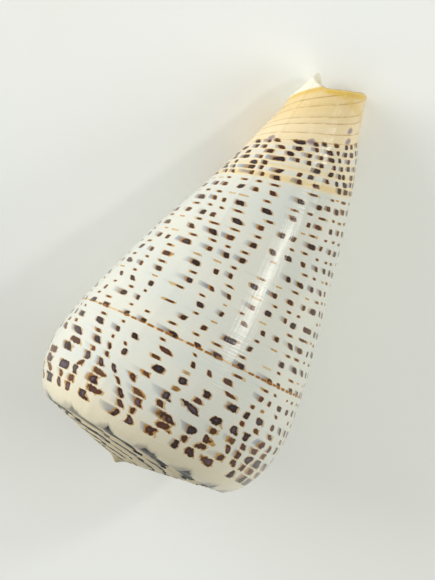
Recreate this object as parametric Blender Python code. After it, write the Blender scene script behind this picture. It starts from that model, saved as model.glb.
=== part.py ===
# Cone shell as one closed solid, lying on its aperture side, metres, +Z up
import math

import bmesh
import bpy
import numpy as np
from mathutils import Matrix

# Size and growth
SHELL_LENGTH = 0.095
WHORLS = 11.0
WHORL_RATIO = 1.30
GROWTH_POWER = math.log(WHORL_RATIO) / math.log(WHORLS / (WHORLS - 1.0))
SWELL = 0.0207
SWELL_AZIMUTH = math.radians(-136.0)
TURNS_MODELLED = 8.625

# Profile of a whorl of size 1: distance along the axis from the apex, and radius
PROFILE_Z = np.array([0.060, 0.072, 0.090, 0.120, 0.170, 0.230, 0.310, 0.420, 0.550,
                      0.680, 0.800, 0.900, 1.000, 1.060, 1.120, 1.160, 1.220, 1.320, 1.500])
PROFILE_R = np.array([0.2473, 0.2632, 0.2785, 0.2950, 0.3085, 0.3124, 0.3015, 0.2765, 0.2392,
                      0.2010, 0.1605, 0.1275, 0.0985, 0.0815, 0.0645, 0.0545, 0.0435, 0.0330, 0.0250])

# How far each height of the side trails behind the lip, in degrees
LAG_Z = np.array([0.060, 0.120, 0.200, 0.350, 0.500, 0.700, 0.850, 0.950, 1.050, 1.150, 1.500])
LAG_DEG = np.array([9.0, 6.0, 3.5, 1.0, 0.0, 1.0, 4.0, 8.5, 15.0, 18.0, 18.0])
SINUS_DEG = 5.0

# Front rim of the last turns: azimuth in degrees behind the lip, and distance from the apex
RIM_DEG = np.array([-640.0, -540.0, -450.0, -390.0, -345.0, -300.0, -265.0, -225.0, -195.0,
                    -168.0, -145.0, -125.0, -100.0, -70.0, -45.0, -22.0, 0.0])
RIM_Z = np.array([0.938, 0.940, 0.942, 0.944, 0.948, 0.956, 0.969, 0.9800, 0.9740,
                  0.9620, 0.9570, 0.9645, 0.9785, 0.9920, 0.9985, 1.0000, 0.9950])

# Where the side departs from the profile, as shares of the radius: the front end of the lip turns
# inwards, the side leans over between the belly and the tip, and the front scar swells behind the rim
DRAW_IN = 0.13
DRAW_IN_ALONG = (0.82, 1.02)
DRAW_IN_DEG = (-110.0, -30.0)
LEAN = 0.030
LEAN_ALONG = (0.55, 0.80, 1.00)
SCAR = 0.09
SCAR_ALONG = (1.03, 1.09, 1.15)
SCAR_DEG = (-150.0, -205.0)

# Direction of the outside, smoothed, used to set the inside face of the wall
WALL_Z = np.array([0.060, 0.085, 0.120, 0.170, 0.230, 0.310, 0.420, 0.600, 0.800, 1.000, 1.300, 1.500])
WALL_DEG = np.array([32.0, 50.0, 65.0, 79.0, 91.0, 99.0, 104.0, 107.0, 109.0, 106.0, 100.0, 98.0])
WALL_AT_LIP = 0.0011
WALL_INSIDE = 0.0021
WALL_GROWS_OVER = math.radians(35.0)
LIP_BULGE = 0.00045
RIM_BULGE = 0.35
RIM_FADE_COLUMNS = 5.0

# End of the columella: rings as shares of its radius, and a round ridge where the last turn leaves it,
# which rises between the azimuths of RIDGE_DEG and ends between those of RIDGE_ENDS_DEG
COLUMELLA_RINGS = (0.93, 0.76, 0.57, 0.26)
COLUMELLA_CROWN = 0.0004
RIDGE_HEIGHT = 0.0018
RIDGE_SHARE = 0.76
RIDGE_WIDTH = 0.21
RIDGE_DEG = (-193.0, -222.0)
RIDGE_ENDS_DEG = (-245.0, -292.0)

# Spire
SUTURE_DEPTH = 0.0034
RAMP_HOLLOW = 0.0022
NIPPLE_HEIGHT = 0.0009
NIPPLE_RADIUS = 0.0012
NIPPLE_FADE = 0.009

# Fineness
COLUMNS = 48
RAMP_ROWS = np.array([0.0, 0.10, 0.30, 0.54, 0.78, 1.0])
SIDE_ROWS = np.array([0.060, 0.068, 0.076, 0.090, 0.110, 0.135, 0.165, 0.205, 0.255, 0.315, 0.385,
                      0.460, 0.540, 0.620, 0.700, 0.775, 0.845, 0.905, 0.955, 1.0])
CAVITY_TURN = 0.5

# Attitude at rest: the turn about the shell's axis that puts the lip edge and the belly of the last
# whorl on the ground, then the turn that lays the axis down with the tip towards +X
REST_ROLL = math.radians(-54.18)
REST_PITCH = math.radians(105.10)


def smooth_curve(x, xs, ys):
    """Cubic curve through the points (xs, ys) with slopes taken from the neighbours."""
    slopes = np.gradient(ys, xs)
    x = np.clip(x, xs[0], xs[-1])
    i = np.clip(np.searchsorted(xs, x) - 1, 0, len(xs) - 2)
    width = xs[i + 1] - xs[i]
    t = (x - xs[i]) / width
    a = (1.0 + 2.0 * t) * (1.0 - t) ** 2
    b = t * (1.0 - t) ** 2
    c = t * t * (3.0 - 2.0 * t)
    d = t * t * (t - 1.0)
    return a * ys[i] + b * width * slopes[i] + c * ys[i + 1] + d * width * slopes[i + 1]


def rise(x, low, high):
    """0 at low, 1 at high and beyond, with an S-shaped climb between; low may be the larger."""
    t = np.clip((x - low) / (high - low), 0.0, 1.0)
    return t * t * (3.0 - 2.0 * t)


def hump(x, low, middle, high):
    """0 outside low and high, 1 at the middle, S-shaped on both sides."""
    return rise(x, low, middle) * (1.0 - rise(x, middle, high))


def whorl_size(azimuth):
    """Size of the shell tube at an azimuth, 1 at the lip and shrinking towards the apex."""
    turn = np.maximum(1.0 + azimuth / (2.0 * math.pi * WHORLS), 1e-3)
    return turn ** GROWTH_POWER * np.exp(SWELL * np.sin(azimuth - SWELL_AZIMUTH))


def side_share(azimuth, along):
    """Radius of the side as a share of the profile's radius."""
    degrees = np.degrees(azimuth)
    lean = LEAN * hump(along, *LEAN_ALONG) * np.sin(azimuth - SWELL_AZIMUTH)
    scar = SCAR * hump(along, *SCAR_ALONG) * rise(degrees, *SCAR_DEG)
    return 1.0 + lean + scar - DRAW_IN * rise(along, *DRAW_IN_ALONG) * rise(degrees, *DRAW_IN_DEG)


def side_point(tau, row):
    """Azimuth, radius and height of the side of the whorl, row 0 at the shoulder, 1 at the rim."""
    azimuth = tau + 0.0 * row
    for _ in range(4):
        size = whorl_size(azimuth)
        top = PROFILE_Z[0] * size
        rim = smooth_curve(np.degrees(azimuth), RIM_DEG, RIM_Z)
        height = top + (rim - top) * row
        azimuth = tau - np.radians(smooth_curve(height / size, LAG_Z, LAG_DEG))
    size = whorl_size(azimuth)
    along = height / size
    radius = size * smooth_curve(along, PROFILE_Z, PROFILE_R) * side_share(azimuth, along)
    return azimuth, radius * SHELL_LENGTH, height * SHELL_LENGTH


def ramp_point(tau, row):
    """Azimuth, radius and height of the spire ramp, row 0 at the suture, 1 at the shoulder."""
    azimuth = tau - np.radians(LAG_DEG[0] + SINUS_DEG * np.sin(math.pi * row))
    outer = whorl_size(azimuth)
    inner = whorl_size(azimuth - 2.0 * math.pi)
    size = inner + (outer - inner) * row
    groove = SUTURE_DEPTH * np.exp(-((row - 0.10) / 0.08) ** 2) * np.minimum(row / 0.08, 1.0)
    hollow = RAMP_HOLLOW * np.sin(math.pi * row)
    radius = size * PROFILE_R[0]
    height = size * PROFILE_Z[0] + outer * (groove + hollow)
    return azimuth, radius * SHELL_LENGTH, height * SHELL_LENGTH


def drop_from_nipple(radius):
    """Extra distance from the apex that leaves a small point in the middle of the spire."""
    raised = 1.0 - np.exp(-(radius / NIPPLE_RADIUS) ** 2)
    return NIPPLE_HEIGHT * raised * np.exp(-radius / NIPPLE_FADE)


def to_xyz(azimuth, radius, height):
    """Shell axis along Z with the apex at the origin."""
    return np.stack([radius * np.cos(azimuth), radius * np.sin(azimuth), height], axis=-1)


class PointList:
    """Vertices gathered piece by piece; add() returns the numbers of the points it was given."""

    def __init__(self):
        self.blocks = []
        self.count = 0

    def add(self, points):
        numbers = self.count + np.arange(points.size // 3).reshape(points.shape[:-1])
        self.blocks.append(points.reshape(-1, 3))
        self.count += numbers.size
        return numbers

    def all(self):
        return np.concatenate(self.blocks)


def outside():
    """Turn, azimuth, radius and height of every column and row of the outside."""
    last = int(round(TURNS_MODELLED * COLUMNS))
    tau = 2.0 * math.pi * (np.arange(last + 1) - last) / COLUMNS
    side_rows = (SIDE_ROWS - SIDE_ROWS[0]) / (SIDE_ROWS[-1] - SIDE_ROWS[0])
    ramp = ramp_point(tau[:, None], RAMP_ROWS[None, :])
    side = side_point(tau[:, None], side_rows[None, 1:])
    azimuth, radius, height = [np.concatenate(pair, axis=1) for pair in zip(ramp, side)]
    return tau, azimuth, radius, height + drop_from_nipple(radius)


def inside(tau, azimuth, radius, height, joined):
    """Inside face of the last turns, one wall thickness in from the outside.

    joined holds the azimuth, radius and height where the face meets the whorl it grows on. Under
    the ramp the face runs straight from there to the point inside the shoulder.
    """
    shoulder = len(RAMP_ROWS) - 1
    wall = WALL_AT_LIP + (WALL_INSIDE - WALL_AT_LIP) * (1.0 - np.exp(tau[:, None] / WALL_GROWS_OVER))
    angle = np.radians(smooth_curve(height / SHELL_LENGTH / whorl_size(azimuth), WALL_Z, WALL_DEG))
    radius_in = radius - wall * np.sin(angle)
    height_in = height + wall * np.cos(angle)
    turn_in = azimuth.copy()
    share = RAMP_ROWS[None, :]
    for values, start in zip((turn_in, radius_in, height_in), joined):
        end = values[:, shoulder:shoulder + 1]
        if values is turn_in:
            values[:, :shoulder + 1] += (start[:, None] - values[:, :1]) * (1.0 - share)
        else:
            values[:, :shoulder + 1] = start[:, None] + (end - start[:, None]) * share
    return to_xyz(turn_in, radius_in, height_in), wall[:, 0]


def lip_edge(outer_edge, inner_edge, azimuth):
    """Middle of the lip's edge, bulged forward so that the edge is round."""
    forward = np.stack([-np.sin(azimuth), np.cos(azimuth), 0.0 * azimuth], axis=-1)
    edge = 0.5 * (outer_edge + inner_edge) + LIP_BULGE * forward
    edge[-1, 2] += LIP_BULGE
    return edge


def rim_edge(outer_rim, inner_rim, wall):
    """Middle of the front rim, bulged along the axis and fading out at the deep end."""
    edge = 0.5 * (outer_rim + inner_rim)
    fade = np.clip(np.arange(len(edge)) / RIM_FADE_COLUMNS, 0.0, 1.0)
    edge[:, 2] += RIM_BULGE * wall * fade
    return edge


def columella_end(points, loop, edge, azimuth):
    """Rings that close the end of the columella, shrinking from its edge, over a round ridge where the
    last turn leaves it, to a low crown."""
    middle = np.array([0.0, 0.0, edge[:, 2].mean()])
    degrees = np.degrees(azimuth)
    ridge = RIDGE_HEIGHT * rise(degrees, *RIDGE_DEG) * (1.0 - rise(degrees, *RIDGE_ENDS_DEG))
    rings = [loop]
    for share in COLUMELLA_RINGS:
        ring = middle + (edge - middle) * np.array([share, share, share ** 3])
        across = min(abs(share - RIDGE_SHARE) / RIDGE_WIDTH, 1.0)
        ring[:, 2] += COLUMELLA_CROWN * (1.0 - share * share) + ridge * math.sqrt(1.0 - across * across)
        rings.append(points.add(ring))
    top = points.add(middle[None, :] + np.array([[0.0, 0.0, COLUMELLA_CROWN]]))
    rings.append(np.repeat(top, len(loop)))
    rings = np.array(rings)
    return np.concatenate([rings, rings[:, :1]], axis=1)


def sheet(numbers):
    """Two triangles for each cell of a grid of vertex numbers, without the empty ones."""
    a = numbers[:-1, :-1].ravel()
    b = numbers[1:, :-1].ravel()
    c = numbers[1:, 1:].ravel()
    d = numbers[:-1, 1:].ravel()
    both = np.concatenate([np.stack([a, b, c], axis=1), np.stack([a, c, d], axis=1)])
    full = (both[:, 0] != both[:, 1]) & (both[:, 1] != both[:, 2]) & (both[:, 0] != both[:, 2])
    return both[full]


def shell_mesh():
    """Vertices and triangles of the closed shell, apex at the origin, axis along Z."""
    tau, azimuth, radius, height = outside()
    shoulder = len(RAMP_ROWS) - 1
    wall_row = shoulder + 2
    last = len(tau) - 1
    under = last - COLUMNS
    deep = int(round(CAVITY_TURN * COLUMNS))
    hollow = slice(last - deep, last + 1)
    covered = slice(under - deep, under + 1)
    points = PointList()

    # The suture of each whorl is the shoulder of the whorl before, and the first whorl starts at a point
    outer_xyz = to_xyz(azimuth, radius, height)
    outer_xyz[0, 0] = 0.0
    outer = points.add(outer_xyz)
    outer[COLUMNS:, 0] = outer[:-COLUMNS, shoulder]
    outer[:COLUMNS, 0] = outer[0, 0]
    outer[0, 1:shoulder + 1] = outer[0, shoulder]

    # Inside of the last half turn, which starts on the whorl that it covers
    joined = (azimuth[covered, wall_row] + 2.0 * math.pi, radius[covered, wall_row], height[covered, wall_row])
    inner_xyz, wall = inside(tau[hollow], azimuth[hollow], radius[hollow], height[hollow], joined)
    inner = points.add(inner_xyz)
    inner[:, 0] = outer[covered, wall_row]

    # Rounded edges of the lip and of the front rim, which share a corner
    lip = points.add(lip_edge(outer_xyz[last], inner_xyz[-1], azimuth[last]))
    lip[0] = outer[under, shoulder + 1]
    rim = points.add(rim_edge(outer_xyz[hollow, -1], inner_xyz[:, -1], wall))
    rim[-1] = lip[-1]

    # End of the columella, from the deep end of the opening round to itself
    loop = np.concatenate([outer[under - deep:last - deep + 1, -1], rim[:1], inner[:1, -1]])
    loop_azimuth = azimuth[np.r_[under - deep:last - deep + 1, last - deep, last - deep], -1]
    rings = columella_end(points, loop, points.all()[loop], loop_azimuth)

    # Wall across the deep end of the opening
    facing = outer[under - deep, np.maximum(np.arange(inner.shape[1]), wall_row)]

    triangles = np.concatenate([
        sheet(outer[:, :shoulder + 1]),
        sheet(outer[under:, shoulder:]),
        sheet(outer[covered, wall_row:]),
        sheet(inner),
        sheet(np.stack([outer[last], lip, inner[-1]])),
        sheet(np.stack([outer[hollow, -1], rim, inner[:, -1]])),
        sheet(np.stack([inner[0], facing])),
        sheet(rings),
    ])
    used, triangles = np.unique(triangles, return_inverse=True)
    return points.all()[used], triangles.reshape(-1, 3)


def shell_material():
    """Glossy cream-white shell."""
    material = bpy.data.materials.new("shell_enamel")
    material.use_nodes = True
    shader = material.node_tree.nodes["Principled BSDF"]
    shader.inputs["Base Color"].default_value = (0.86, 0.81, 0.72, 1.0)
    shader.inputs["Roughness"].default_value = 0.28
    shader.inputs["Coat Weight"].default_value = 0.5
    shader.inputs["Coat Roughness"].default_value = 0.08
    return material


def face_outwards(mesh):
    """Turn every triangle so that the closed mesh faces out."""
    work = bmesh.new()
    work.from_mesh(mesh)
    bmesh.ops.recalc_face_normals(work, faces=work.faces)
    work.to_mesh(mesh)
    work.free()


def lay_down(mesh):
    """Turn the shell to its attitude at rest, with the middle of its underside at the origin."""
    mesh.transform(Matrix.Rotation(REST_PITCH, 4, "Y") @ Matrix.Rotation(REST_ROLL, 4, "Z"))
    corners = np.array([vertex.co for vertex in mesh.vertices])
    low = corners.min(axis=0)
    high = corners.max(axis=0)
    middle = 0.5 * (low + high)
    mesh.transform(Matrix.Translation((-middle[0], -middle[1], -low[2])))


def make_shell():
    """The shell object."""
    vertices, triangles = shell_mesh()
    mesh = bpy.data.meshes.new("shell")
    mesh.from_pydata(vertices.tolist(), [], triangles.tolist())
    lay_down(mesh)
    face_outwards(mesh)
    mesh.materials.append(shell_material())
    mesh.shade_smooth()
    shell = bpy.data.objects.new("shell", mesh)
    bpy.context.scene.collection.objects.link(shell)
    return shell


for old in list(bpy.data.objects):
    bpy.data.objects.remove(old, do_unlink=True)
make_shell()
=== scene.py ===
# %% [markdown]
# # A cone shell
# The object is one natural shell: a cone of coiled whorls with a low spire at the wide end, a long narrow
# opening and a coloured front tip. It could be sculpted by hand, or scanned. Here it is grown from a
# formula instead, because a real shell is itself the path of one outline that turns and gets larger.
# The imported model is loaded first. It fixes the size and the place of everything that follows.

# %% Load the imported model
import math
from functools import partialmethod

import bmesh
import bpy
import numpy as np
from mathutils import Matrix, Vector


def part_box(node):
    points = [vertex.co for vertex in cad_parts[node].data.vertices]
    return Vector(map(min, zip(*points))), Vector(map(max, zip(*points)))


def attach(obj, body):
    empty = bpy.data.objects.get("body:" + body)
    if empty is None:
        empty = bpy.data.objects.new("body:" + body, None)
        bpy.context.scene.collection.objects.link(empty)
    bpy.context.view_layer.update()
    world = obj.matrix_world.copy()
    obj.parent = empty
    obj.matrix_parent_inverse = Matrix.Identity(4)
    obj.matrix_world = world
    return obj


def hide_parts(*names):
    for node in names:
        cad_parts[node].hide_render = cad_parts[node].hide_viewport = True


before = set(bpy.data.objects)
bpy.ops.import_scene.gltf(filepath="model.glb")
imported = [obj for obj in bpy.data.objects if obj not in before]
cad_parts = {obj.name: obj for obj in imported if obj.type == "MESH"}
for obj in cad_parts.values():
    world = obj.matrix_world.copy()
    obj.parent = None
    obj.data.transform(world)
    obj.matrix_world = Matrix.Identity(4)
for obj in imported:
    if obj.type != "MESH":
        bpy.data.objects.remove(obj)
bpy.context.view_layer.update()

MM = 0.001
FULL_TURN = 2.0 * math.pi

# %% [markdown]
# ## How the shell grows
# A cone shell keeps nearly the same outline all its life. Only the size of that outline changes as it turns
# about the axis, so the whole surface needs two curves: how the size grows with the turn, and the outline
# itself. A true logarithmic spiral would make a pointed spire. This shell has a low one, so the size
# follows a power of the turn, which grows fast at first and slower later.

# %% Size and growth
SHELL_LENGTH = 0.095
WHORLS = 11.0
WHORL_RATIO = 1.30
GROWTH_POWER = math.log(WHORL_RATIO) / math.log(WHORLS / (WHORLS - 1.0))
SWELL = 0.0207
SWELL_AZIMUTH = math.radians(-136.0)
TURNS_MODELLED = 8.625

# Profile of a whorl of size 1: distance along the axis from the apex, and radius
PROFILE_Z = np.array([0.060, 0.072, 0.090, 0.120, 0.170, 0.230, 0.310, 0.420, 0.550,
                      0.680, 0.800, 0.900, 1.000, 1.060, 1.120, 1.160, 1.220, 1.320, 1.500])
PROFILE_R = np.array([0.2473, 0.2632, 0.2785, 0.2950, 0.3085, 0.3124, 0.3015, 0.2765, 0.2392,
                      0.2010, 0.1605, 0.1275, 0.0985, 0.0815, 0.0645, 0.0545, 0.0435, 0.0330, 0.0250])

# How far each height of the side trails behind the lip, in degrees
LAG_Z = np.array([0.060, 0.120, 0.200, 0.350, 0.500, 0.700, 0.850, 0.950, 1.050, 1.150, 1.500])
LAG_DEG = np.array([9.0, 6.0, 3.5, 1.0, 0.0, 1.0, 4.0, 8.5, 15.0, 18.0, 18.0])
SINUS_DEG = 5.0

# Front rim of the last turns: azimuth in degrees behind the lip, and distance from the apex
RIM_DEG = np.array([-640.0, -540.0, -450.0, -390.0, -345.0, -300.0, -265.0, -225.0, -195.0,
                    -168.0, -145.0, -125.0, -100.0, -70.0, -45.0, -22.0, 0.0])
RIM_Z = np.array([0.938, 0.940, 0.942, 0.944, 0.948, 0.956, 0.969, 0.9800, 0.9740,
                  0.9620, 0.9570, 0.9645, 0.9785, 0.9920, 0.9985, 1.0000, 0.9950])

# Where the side departs from the profile, as shares of the radius: the front end of the lip turns
# inwards, the side leans over between the belly and the tip, and the front scar swells behind the rim
DRAW_IN = 0.13
DRAW_IN_ALONG = (0.82, 1.02)
DRAW_IN_DEG = (-110.0, -30.0)
LEAN = 0.030
LEAN_ALONG = (0.55, 0.80, 1.00)
SCAR = 0.09
SCAR_ALONG = (1.03, 1.09, 1.15)
SCAR_DEG = (-150.0, -205.0)


def smooth_curve(x, xs, ys):
    """Cubic curve through the points (xs, ys) with slopes taken from the neighbours."""
    slopes = np.gradient(ys, xs)
    x = np.clip(x, xs[0], xs[-1])
    i = np.clip(np.searchsorted(xs, x) - 1, 0, len(xs) - 2)
    width = xs[i + 1] - xs[i]
    t = (x - xs[i]) / width
    a = (1.0 + 2.0 * t) * (1.0 - t) ** 2
    b = t * (1.0 - t) ** 2
    c = t * t * (3.0 - 2.0 * t)
    d = t * t * (t - 1.0)
    return a * ys[i] + b * width * slopes[i] + c * ys[i + 1] + d * width * slopes[i + 1]


def rise(x, low, high):
    """0 at low, 1 at high and beyond, with an S-shaped climb between; low may be the larger."""
    t = np.clip((x - low) / (high - low), 0.0, 1.0)
    return t * t * (3.0 - 2.0 * t)


def hump(x, low, middle, high):
    """0 outside low and high, 1 at the middle, S-shaped on both sides."""
    return rise(x, low, middle) * (1.0 - rise(x, middle, high))


def whorl_size(azimuth):
    """Size 1 at the lip: (1 + azimuth / whole turns grown) to a power, with a faint swell each turn."""
    turn = np.maximum(1.0 + azimuth / (FULL_TURN * WHORLS), 1e-3)
    return turn ** GROWTH_POWER * np.exp(SWELL * np.sin(azimuth - SWELL_AZIMUTH))


print("size one turn back from the lip:", round(float(whorl_size(np.array(-FULL_TURN))), 3))

# %% [markdown]
# ## The side and the spire
# The side is the large painted face from the shoulder to the front tip. The spire is the ramp that each
# turn leaves uncovered between its suture and its shoulder. Both are surfaces of two parameters: the turn
# of the growing lip, and how far along the lip the point lies. The lip isn't straight, so each row trails
# behind it by a few degrees, which is also the way that the growth lines and the marks run.

# %% Side and ramp surfaces
SUTURE_DEPTH = 0.0034
SUTURE_ROW = 0.10
SUTURE_WIDTH = 0.08
RAMP_HOLLOW = 0.0022
NIPPLE_HEIGHT = 0.0009
NIPPLE_RADIUS = 0.0012
NIPPLE_FADE = 0.009


def side_share(azimuth, along):
    """Radius as a share of the profile's: one, plus a lean to one side that follows the sine of the
    azimuth, plus a swelling behind the scar, less the inward turn of the lip's front end."""
    degrees = np.degrees(azimuth)
    lean = LEAN * hump(along, *LEAN_ALONG) * np.sin(azimuth - SWELL_AZIMUTH)
    scar = SCAR * hump(along, *SCAR_ALONG) * rise(degrees, *SCAR_DEG)
    return 1.0 + lean + scar - DRAW_IN * rise(along, *DRAW_IN_ALONG) * rise(degrees, *DRAW_IN_DEG)


def side_point(tau, row):
    """Azimuth, radius and height of the side: height runs from the shoulder to the rim with the row,
    radius is the size times the profile at that height, azimuth is tau less the lag."""
    azimuth = tau + 0.0 * row
    for _ in range(4):
        size = whorl_size(azimuth)
        top = PROFILE_Z[0] * size
        rim = smooth_curve(np.degrees(azimuth), RIM_DEG, RIM_Z)
        height = top + (rim - top) * row
        azimuth = tau - np.radians(smooth_curve(height / size, LAG_Z, LAG_DEG))
    size = whorl_size(azimuth)
    along = height / size
    radius = size * smooth_curve(along, PROFILE_Z, PROFILE_R) * side_share(azimuth, along)
    return azimuth, radius * SHELL_LENGTH, height * SHELL_LENGTH


def ramp_point(tau, row):
    """Azimuth, radius and height of the ramp: a straight mix of the size one turn back and the size
    now, sunk at the suture by a bell curve and hollowed by half a sine wave."""
    azimuth = tau - np.radians(LAG_DEG[0] + SINUS_DEG * np.sin(math.pi * row))
    outer = whorl_size(azimuth)
    inner = whorl_size(azimuth - FULL_TURN)
    size = inner + (outer - inner) * row
    groove = SUTURE_DEPTH * np.exp(-((row - SUTURE_ROW) / SUTURE_WIDTH) ** 2)
    groove = groove * np.minimum(row / SUTURE_WIDTH, 1.0)
    hollow = RAMP_HOLLOW * np.sin(math.pi * row)
    radius = size * PROFILE_R[0]
    height = size * PROFILE_Z[0] + outer * (groove + hollow)
    return azimuth, radius * SHELL_LENGTH, height * SHELL_LENGTH


def drop_from_nipple(radius):
    """Extra distance from the apex, a bell curve that fades outwards, which leaves a small point."""
    raised = 1.0 - np.exp(-(radius / NIPPLE_RADIUS) ** 2)
    return NIPPLE_HEIGHT * raised * np.exp(-radius / NIPPLE_FADE)


def to_xyz(azimuth, radius, height):
    """Shell axis along Z with the apex at the origin."""
    return np.stack([radius * np.cos(azimuth), radius * np.sin(azimuth), height], axis=-1)


at_lip = side_point(np.zeros(1), np.array([0.0, 1.0]))
print("radius of the lip at the shoulder and at the rim, mm:", np.round(at_lip[1] / MM, 1))

# %% [markdown]
# ## Low relief
# Up close the surface isn't smooth. Spiral grooves ring the front tip, low cords run round the spire, and
# each pause in growth leaves a faint swelling along the lip. They could be bump in the material. They are
# moved points here, so that the mesh itself carries them, and bump is kept for the finest threads.

# %% Relief as heights in millimetres
TIP_GROOVES = (0.838, 0.858, 0.878, 0.896, 0.914, 0.936, 0.962, 0.982, 1.014, 1.036)
GROOVE_DEPTH_MM = 0.13
GROOVE_WIDTH = 0.0034
GROOVES_FROM = (0.80, 0.98)
GROOVE_LEAST = 0.35
CORD_HEIGHT_MM = 0.07
CORDS_ON_RAMP = 4
PAUSE_HEIGHT_MM = 0.024
PAUSE_GAIN = 6.0
PAUSE_OFFSET = 1.7
PAUSES_PER_TURN = (11.0, 17.0, 29.0, 43.0)


def growth_pauses(tau):
    """Sum of waves along the turn, each of another length, cubed so that a few of them stand out."""
    turns = tau / FULL_TURN
    waves = sum(np.sin(FULL_TURN * turns * count + PAUSE_OFFSET * count) for count in PAUSES_PER_TURN)
    return PAUSE_HEIGHT_MM * (waves / len(PAUSES_PER_TURN)) ** 3 * PAUSE_GAIN


def side_relief(tau, share):
    """Growth pauses less a bell-shaped groove at each groove line, deeper towards the rim."""
    grooves = sum(np.exp(-((share - line) / GROOVE_WIDTH) ** 2) for line in TIP_GROOVES)
    deep = GROOVE_LEAST + (1.0 - GROOVE_LEAST) * rise(share, *GROOVES_FROM)
    return growth_pauses(tau) - GROOVE_DEPTH_MM * deep * grooves


def ramp_relief(tau, row):
    """Sine cords round the ramp that fade out at the suture and at the shoulder."""
    cords = np.sin(FULL_TURN * CORDS_ON_RAMP * row) * np.sin(math.pi * row)
    return CORD_HEIGHT_MM * cords + growth_pauses(tau) * np.sin(math.pi * row)


pauses = growth_pauses(np.linspace(-FULL_TURN, 0.0, 721))
print("growth pauses, mm:", round(float(pauses.min()), 3), "to", round(float(pauses.max()), 3))

# %% [markdown]
# ## Where the marks sit
# The animal lays its colour down at the lip, in rows that wind round the shell and in columns that follow
# the lip. Painting that by hand on a flat image would stretch at the tip. Each point of the surface carries
# its own column number, row number and the size of one cell in millimetres instead, so that a material
# can draw a mark of true size anywhere. The column count falls towards the tip, where the shell is narrow.

# %% Column and row numbers
FACING_AZIMUTH = math.radians(-136.0)
COLUMNS_AT_SHOULDER = 31.0
COLUMNS_LOST = 10.0
COLUMNS_EVEN = 25.0
SLANT_LIMIT = 0.36
SPIRE_FROM = -0.62
SPIRE_BEND = 1.5
CROWDED_COLUMNS = 1.7
CROWDED_BETWEEN = (0.05, 0.30)
FIRST_ROW = 0.100
ROW_PITCH = 0.0231
TIP_MARKS = 0.803
TIP_PITCH = 0.0172
PROFILE_STRETCH = 1.04


def column_number(azimuth, share):
    """Turns from the facing side times the count of columns, with a few more where they crowd towards
    the lip. Past the slant limit the count is even, and it falls on the older whorls of the spire."""
    turns = (azimuth - FACING_AZIMUTH) / FULL_TURN
    count = COLUMNS_AT_SHOULDER - COLUMNS_LOST * share
    near = np.clip(turns, -SLANT_LIMIT, SLANT_LIMIT)
    spire = np.minimum(turns - SPIRE_FROM, 0.0)
    crowded = CROWDED_COLUMNS * rise(turns, *CROWDED_BETWEEN)
    return near * count + (turns - near) * COLUMNS_EVEN + SPIRE_BEND * spire ** 2 + crowded


def row_number(share):
    """Distance from the first row over the pitch, with a smaller pitch past the tip line."""
    tip = np.maximum(share - TIP_MARKS, 0.0)
    return (np.minimum(share, TIP_MARKS) - FIRST_ROW) / ROW_PITCH + tip / TIP_PITCH


def cell_size(azimuth, share, radius):
    """Width and height in millimetres of the cell that a point lies in. The width is the radius over
    the columns that go by for each radian."""
    step = math.radians(0.5)
    columns = column_number(azimuth + step, share) - column_number(azimuth - step, share)
    width = radius * 2.0 * step / columns / MM
    pitch = np.where(share < TIP_MARKS, ROW_PITCH, TIP_PITCH)
    height = pitch * PROFILE_STRETCH * SHELL_LENGTH * whorl_size(azimuth) / MM
    return width, height


print("row number at the front edge:", round(float(row_number(np.array(1.0))), 1))

# %% [markdown]
# ## Wall, lip and columella
# The lip has a wall about one millimetre thick with a round edge, thicker inside. The opening runs half a
# turn in. A Solidify modifier could give the wall its thickness, but it would thicken the coiled inner
# turns as well. The inside is a surface of its own, one wall in along the outward direction.

# %% Inside surfaces
WALL_Z = np.array([0.060, 0.085, 0.120, 0.170, 0.230, 0.310, 0.420, 0.600, 0.800, 1.000, 1.300, 1.500])
WALL_DEG = np.array([32.0, 50.0, 65.0, 79.0, 91.0, 99.0, 104.0, 107.0, 109.0, 106.0, 100.0, 98.0])
WALL_AT_LIP = 0.0011
WALL_INSIDE = 0.0021
WALL_GROWS_OVER = math.radians(35.0)
LIP_BULGE = 0.00045
RIM_BULGE = 0.35
RIM_FADE = math.radians(37.5)
CAVITY_TURN = 0.5

# End of the columella: rings as shares of its radius, and a round ridge where the last turn leaves it,
# which rises between the azimuths of RIDGE_DEG and ends between those of RIDGE_ENDS_DEG
COLUMELLA_RINGS = (0.985, 0.96, 0.93, 0.89, 0.85, 0.81, 0.76, 0.71, 0.67, 0.63, 0.59, 0.54, 0.44, 0.32, 0.16)
COLUMELLA_CROWN = 0.0004
RIDGE_HEIGHT = 0.0018
RIDGE_SHARE = 0.76
RIDGE_WIDTH = 0.24
RIDGE_DEG = (-193.0, -222.0)
RIDGE_ENDS_DEG = (-245.0, -292.0)


def outward_angle(azimuth, height):
    """Angle of the outside's outward direction from the axis, a curve of the height over the size."""
    return np.radians(smooth_curve(height / SHELL_LENGTH / whorl_size(azimuth), WALL_Z, WALL_DEG))


def inside(tau, azimuth, radius, height, share, joined):
    """One wall thickness in from the outside. Under the ramp the face runs straight from where it is
    joined to the whorl beneath to the point inside the shoulder."""
    wall = WALL_AT_LIP + (WALL_INSIDE - WALL_AT_LIP) * (1.0 - np.exp(tau[:, None] / WALL_GROWS_OVER))
    angle = outward_angle(azimuth, height)
    faces = [azimuth.copy(), radius - wall * np.sin(angle), height + wall * np.cos(angle)]
    shoulder = len(share) - 1
    shift = (joined[0][:, None] - faces[0][:, :1]) * (1.0 - share)
    faces[0][:, :shoulder + 1] += shift
    for values, start in zip(faces[1:], joined[1:]):
        end = values[:, shoulder:shoulder + 1]
        values[:, :shoulder + 1] = start[:, None] + (end - start[:, None]) * share
    return to_xyz(*faces), wall[:, 0]


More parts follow.
